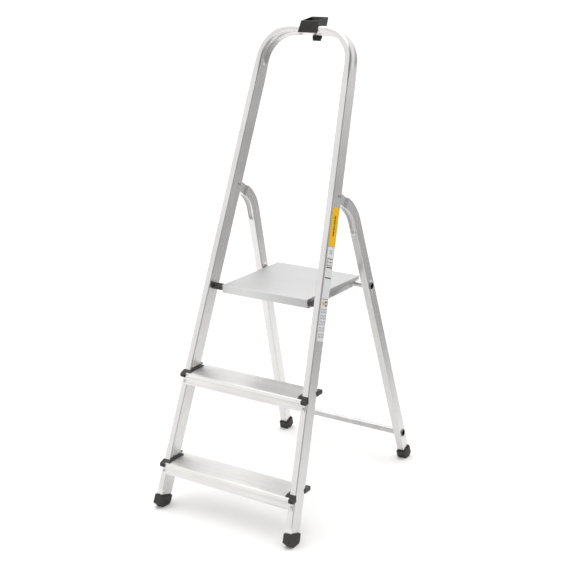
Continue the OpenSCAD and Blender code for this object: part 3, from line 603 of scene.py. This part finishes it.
# the two films on the right upright: inks in sRGB hex, lift in millimetres; a mark is its low and high share
# across the film, its low and high share up it, and its ink
labelFilm = {
    "columns": 36, "rowsPerMm": 1.4, "lift": 0.02, "yellow": "#F1BC00", "silver": "#DDDFE1",
    "dark": "#38383B", "grey": "#A2A5AA", "blue": "#3C5580", "amber": "#E3B11F", "ochre": "#463608",
}
yellowDashes = [0.26, 0.31, 0.35, 0.41, 0.45, 0.50, 0.56, 0.60, 0.65, 0.71, 0.75]
yellowMarks = [(0.40, 0.62, low, low + 0.034, "ochre") for low in yellowDashes]
silverMarks = [
    (0.34, 0.66, 0.925, 0.965, "grey"), (0.42, 0.58, 0.937, 0.953, "silver"),
    (0.10, 0.92, 0.868, 0.877, "dark"), (0.10, 0.92, 0.836, 0.842, "dark"),
    (0.10, 0.92, 0.800, 0.806, "dark"), (0.10, 0.92, 0.776, 0.788, "dark"),
    (0.10, 0.16, 0.776, 0.877, "dark"), (0.55, 0.61, 0.806, 0.877, "grey"),
    (0.06, 0.94, 0.664, 0.676, "dark"), (0.06, 0.94, 0.442, 0.450, "dark"),
    (0.14, 0.46, 0.378, 0.420, "amber"), (0.56, 0.90, 0.372, 0.424, "blue"),
    (0.64, 0.82, 0.386, 0.410, "silver"),
]
# five rows of two hollow squares
for low in (0.30, 0.235, 0.17, 0.105, 0.04):
    for left in (0.12, 0.56):
        silverMarks.append((left, left + 0.32, low, low + 0.045, "grey"))
        silverMarks.append((left + 0.07, left + 0.25, low + 0.01, low + 0.035, "silver"))


def buildLabel(look, rail, node, base, marks):
    # a flat grid just proud of the film's outer face: u goes rearwards across it, t up it, both 0 to 1;
    # each cell takes the ink of the last mark that holds its middle
    corners = np.array([tuple(vertex.co) for vertex in nodes[node].data.vertices]) / mm
    lean, splay = math.radians(rail["lean"]), math.radians(rail["splay"])
    outward = np.array([math.cos(splay), math.sin(splay) * math.sin(lean), math.sin(splay) * math.cos(lean)])
    rearward = np.array([0, math.cos(lean), -math.sin(lean)])
    upward = np.cross(outward, rearward)
    lows = [(corners @ axis).min() for axis in (outward, rearward, upward)]
    highs = [(corners @ axis).max() for axis in (outward, rearward, upward)]
    columns, rows = look["columns"], int((highs[2] - lows[2]) * look["rowsPerMm"])
    u, t = np.meshgrid(np.linspace(0, 1, columns + 1), np.linspace(0, 1, rows + 1))
    points = (
        outward * (highs[0] + look["lift"])
        + rearward * (lows[1] + (highs[1] - lows[1]) * u[:, :, None])
        + upward * (lows[2] + (highs[2] - lows[2]) * t[:, :, None])
    )
    i, j = np.meshgrid(np.arange(rows), np.arange(columns), indexing="ij")
    here, beyond = i * (columns + 1) + j, (i + 1) * (columns + 1) + j
    quads = np.stack([here, here + 1, beyond + 1, beyond], -1)
    mesh = bpy.data.meshes.new(node + "_print")
    mesh.from_pydata((points.reshape(-1, 3) * mm).tolist(), [], quads.reshape(-1, 4).tolist())
    ink = np.tile(linearColour(look[base]), (rows * columns, 1))
    middleU, middleT = ((j + 0.5) / columns).ravel(), ((i + 0.5) / rows).ravel()
    for uLow, uHigh, tLow, tHigh, colour in marks:
        inside = (middleU > uLow) & (middleU < uHigh) & (middleT > tLow) & (middleT < tHigh)
        ink[inside] = linearColour(look[colour])
    layer = mesh.color_attributes.new("ink", "FLOAT_COLOR", "CORNER")
    layer.data.foreach_set("color", np.repeat(ink, 4, axis=0).ravel().astype(np.float32))
    mesh.update()
    film = placePiece(node + "_print", mesh, node).modifiers.new("filmThickness", "SOLIDIFY")
    film.thickness = (highs[0] - lows[0]) * mm
    film.offset = -1


buildLabel(labelFilm, handrail, "upper_label", "yellow", yellowMarks)
buildLabel(labelFilm, handrail, "lower_label", "silver", silverMarks)
print("labels printed")

# soft white studio whose right-hand side is unlit, as reflections in the side faces show; metres, watts per
# square metre for the key light, and degrees
studio = {
    "floorHalf": 9.0, "floor": "#F6F6F5", "farFloor": "#A09FA0", "greyFrom": 0.3, "greyTo": 1.0,
    "paleFrom": 3.6, "paleTo": 12.0, "white": "#FFFFFF", "unlit": "#989696", "worldStrength": 1.1,
    "unlitSide": (0.9, -0.2, 0.0), "fadeFrom": 0.1, "fadeTo": 0.7, "key": 1.5, "keySpread": 80,
    "keyWay": (0.1, -0.1, -1.0),
}
half = studio["floorHalf"]
floorMesh = bpy.data.meshes.new("studioFloor")
floorCorners = [(-half, -half, 0), (half, -half, 0), (half, half, 0), (-half, half, 0)]
floorMesh.from_pydata(floorCorners, [], [(0, 1, 2, 3)])
floor = bpy.data.objects.new("studioFloor", floorMesh)
bpy.context.scene.collection.objects.link(floor)
# painted floor, plain and pale to the eye; reflections find a greyer band some way to the right
# (the world and the floor tell the two apart by the kind of ray, and no piece of the object does)
floorMaterial, floorTree = newMaterial("paintedStudioFloor")
floorPlace = addNode(floorTree, "TexCoord", {}, [], "Object")
floorAway = addNode(floorTree, "SeparateXYZ", {}, [floorPlace], "X")
floorGrey = addNode(floorTree, "MapRange", {}, [floorAway, studio["greyFrom"], studio["greyTo"], 0.0, 1.0])
floorPale = addNode(floorTree, "MapRange", {}, [floorAway, studio["paleFrom"], studio["paleTo"], 1.0, 0.0])
floorBand = addNode(floorTree, "Math", {"operation": "MULTIPLY"}, [floorGrey, floorPale])
floorGloss = addNode(floorTree, "LightPath", {}, [], "Is Glossy Ray")
floorDark = addNode(floorTree, "Math", {"operation": "MULTIPLY"}, [floorBand, floorGloss])
floorColour = addNode(
    floorTree, "MixRGB", {}, [floorDark, linearColour(studio["floor"]), linearColour(studio["farFloor"])]
)
floorShader = addNode(floorTree, "BsdfPrincipled", {}, {"Base Color": floorColour, "Roughness": 0.9})
addNode(floorTree, "OutputMaterial", {}, [floorShader])
floorMesh.materials.append(floorMaterial)

world = bpy.data.worlds.new("softStudio")
bpy.context.scene.world = world
world.use_nodes = True
worldTree = world.node_tree
worldTree.nodes.clear()
towards = addNode(worldTree, "TexCoord", {}, [], "Generated")
facingSide = [towards, studio["unlitSide"]]
worldAway = addNode(worldTree, "VectorMath", {"operation": "DOT_PRODUCT"}, facingSide, "Value")
worldFade = addNode(worldTree, "MapRange", {}, [worldAway, studio["fadeFrom"], studio["fadeTo"], 0.0, 1.0])
worldSeen = addNode(worldTree, "LightPath", {}, [], "Is Camera Ray")
worldHidden = addNode(worldTree, "Math", {"operation": "SUBTRACT"}, [1.0, worldSeen])
worldDark = addNode(worldTree, "Math", {"operation": "MULTIPLY"}, [worldFade, worldHidden])
worldColour = addNode(
    worldTree, "MixRGB", {}, [worldDark, linearColour(studio["white"]), linearColour(studio["unlit"])]
)
worldLight = addNode(worldTree, "Background", {}, [worldColour, studio["worldStrength"]])
addNode(worldTree, "OutputWorld", {}, [worldLight])

key = bpy.data.lights.new("softKey", "SUN")
key.energy = studio["key"]
key.angle = math.radians(studio["keySpread"])
keyObject = bpy.data.objects.new("softKey", key)
bpy.context.scene.collection.objects.link(keyObject)
keyObject.rotation_euler = Vector(studio["keyWay"]).to_track_quat("-Z", "Y").to_euler()

# standing in front and to the right, just above the handrail, looking down at the middle: the place in
# metres, the turns in degrees, the lens in millimetres
view = {"place": (1.56185, -2.48624, 1.42578), "turn": 32.457, "dip": 16.107, "roll": -0.12, "lens": 73.08}
cameraTurn, cameraDip, cameraRoll = (math.radians(view[name]) for name in ("turn", "dip", "roll"))
ahead = math.cos(cameraDip)
forward = Vector((-math.sin(cameraTurn) * ahead, math.cos(cameraTurn) * ahead, -math.sin(cameraDip)))
level = Vector((math.cos(cameraTurn), math.sin(cameraTurn), 0))
upward = level.cross(forward)
right = level * math.cos(cameraRoll) + upward * math.sin(cameraRoll)
upward = right.cross(forward)
camera = bpy.data.cameras.new("camera")
camera.sensor_width = 36.0
camera.lens = view["lens"]
camera.clip_end = 60.0
cameraObject = bpy.data.objects.new("camera", camera)
bpy.context.scene.collection.objects.link(cameraObject)
axes = Matrix((right, upward, -forward)).transposed().to_4x4()
cameraObject.matrix_world = Matrix.Translation(view["place"]) @ axes
bpy.context.scene.camera = cameraObject
bpy.context.scene.view_settings.view_transform = "Standard"
print("studio, light and camera set")
